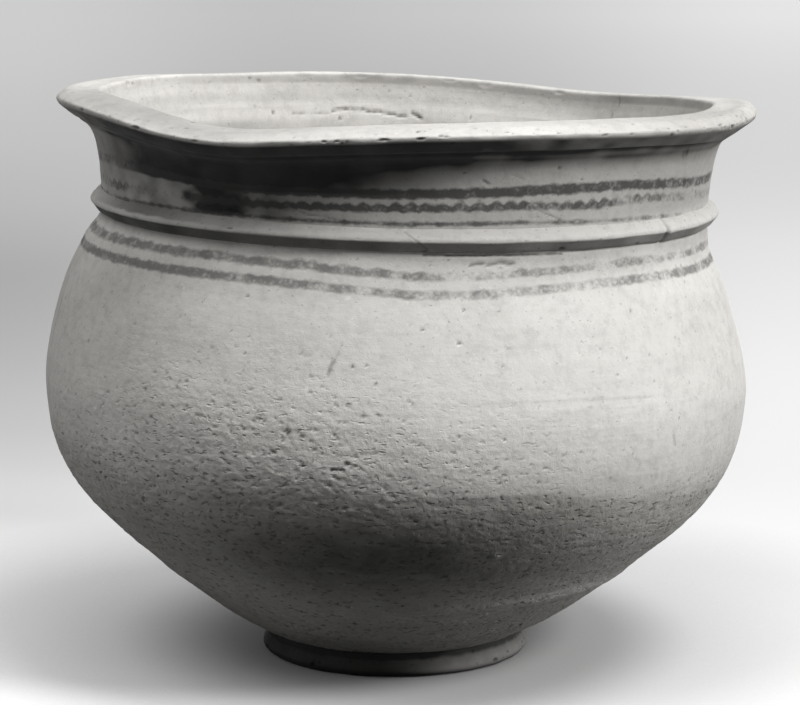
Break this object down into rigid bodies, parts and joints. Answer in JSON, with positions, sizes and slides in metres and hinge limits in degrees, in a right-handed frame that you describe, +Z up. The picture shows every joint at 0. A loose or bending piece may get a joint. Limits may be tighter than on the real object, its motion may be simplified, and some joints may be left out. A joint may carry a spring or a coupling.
{
  "type": "jar",
  "caption": "Wide-mouthed clay jar on a low ring foot, with a round belly, short neck, applied cordon, thick everted lip and bands of dark paint.",
  "frame": {"origin": "on the surface the jar stands on, under the middle of its greatest width and depth", "axes": "+Z up along the jar's height; -Y is the side that the picture shows, with +X to its right"},
  "size_m": [0.313, 0.3102, 0.2523],
  "materials": {
    "clay": "matt, smoothed, unglazed",
    "scraped_clay": "matt, scraped, pitted, unglazed",
    "dark_paint": "matt fired paint, worn"
  },
  "bodies": {
    "root": {"ring_foot": "clay", "base_disc": "clay", "lower_wall_course": "scraped_clay", "flank_course": "scraped_clay", "belly_course": "clay", "shoulder_course": "clay", "neck_cordon": "clay", "neck_wall": "clay", "rim_coil": "clay", "neck_stripe_upper": "dark_paint", "neck_wavy_line": "dark_paint", "neck_stripe_lower": "dark_paint", "shoulder_wavy_line": "dark_paint", "shoulder_stripe": "dark_paint"}
  },
  "joints": []
}
